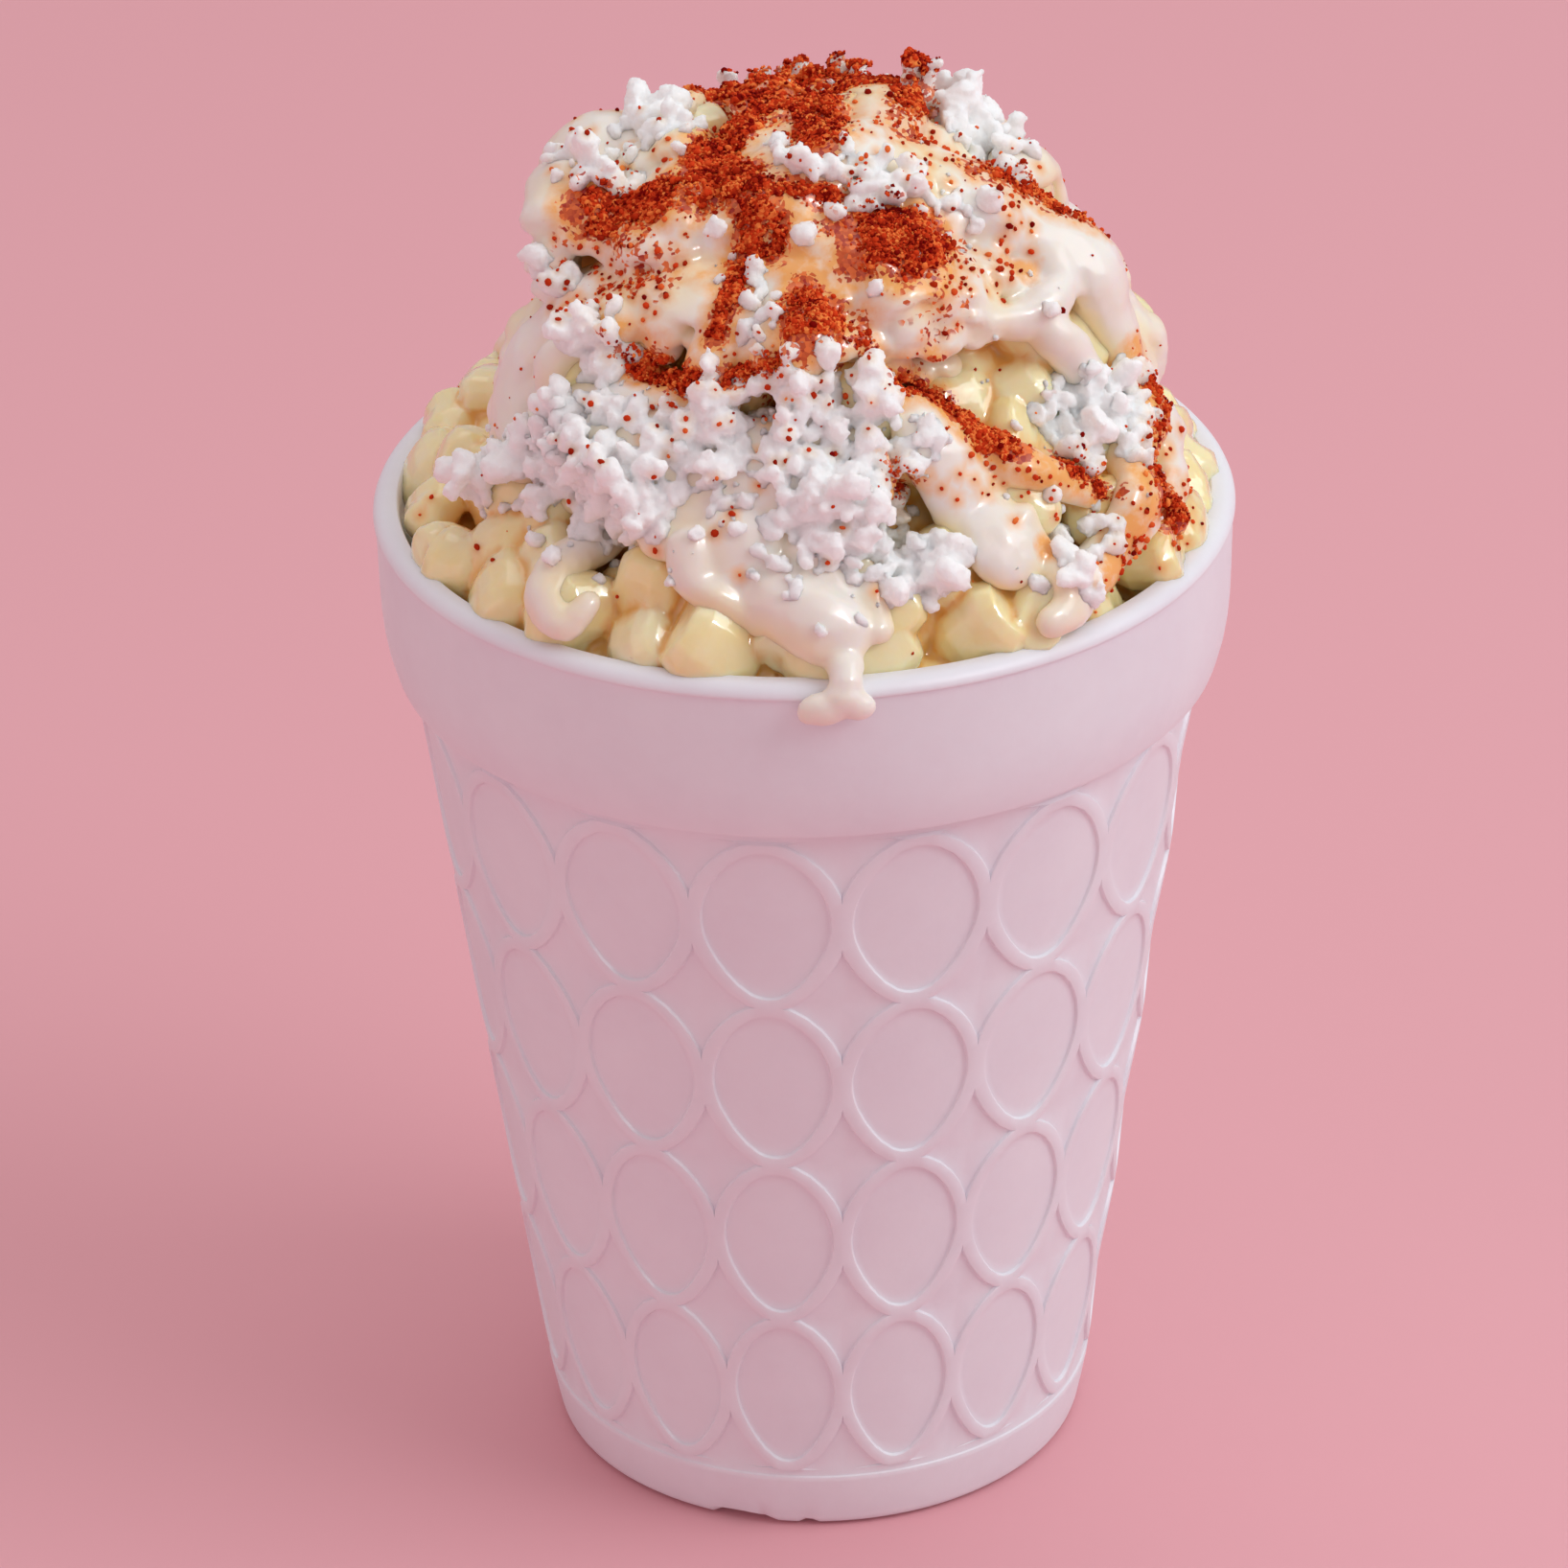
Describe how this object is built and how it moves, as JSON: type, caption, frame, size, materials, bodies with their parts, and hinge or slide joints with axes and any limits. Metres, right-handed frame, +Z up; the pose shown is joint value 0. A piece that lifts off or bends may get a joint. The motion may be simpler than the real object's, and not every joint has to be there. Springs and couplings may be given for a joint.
{
  "type": "cup of esquites",
  "caption": "Tapered white foam cup heaped over its rim with corn kernels, under poured cream, crumbled fresh cheese and ground chile.",
  "frame": {"origin": "centre of the cup's flat base", "axes": "+Z up along the cup's axis, -Y towards the side the picture shows, +X to the picture's right"},
  "size_m": [0.094, 0.0979, 0.1674],
  "materials": {
    "foam": "satin white expanded foam with a fine bead texture",
    "corn": "wet, translucent pale yellow kernels",
    "cream": "smooth glossy cream",
    "cheese": "matte crumbled white cheese, dusted with ground chile in places"
  },
  "bodies": {
    "root": {"cup": "foam", "corn": "corn", "cream": "cream", "cream_front": "cream", "cheese_front": "cheese", "cheese_left_peak": "cheese", "cheese_right_peak": "cheese", "cheese_right_shoulder": "cheese", "cheese_left_shoulder": "cheese", "cheese_back": "cheese", "cheese_back_low": "cheese"}
  },
  "joints": []
}
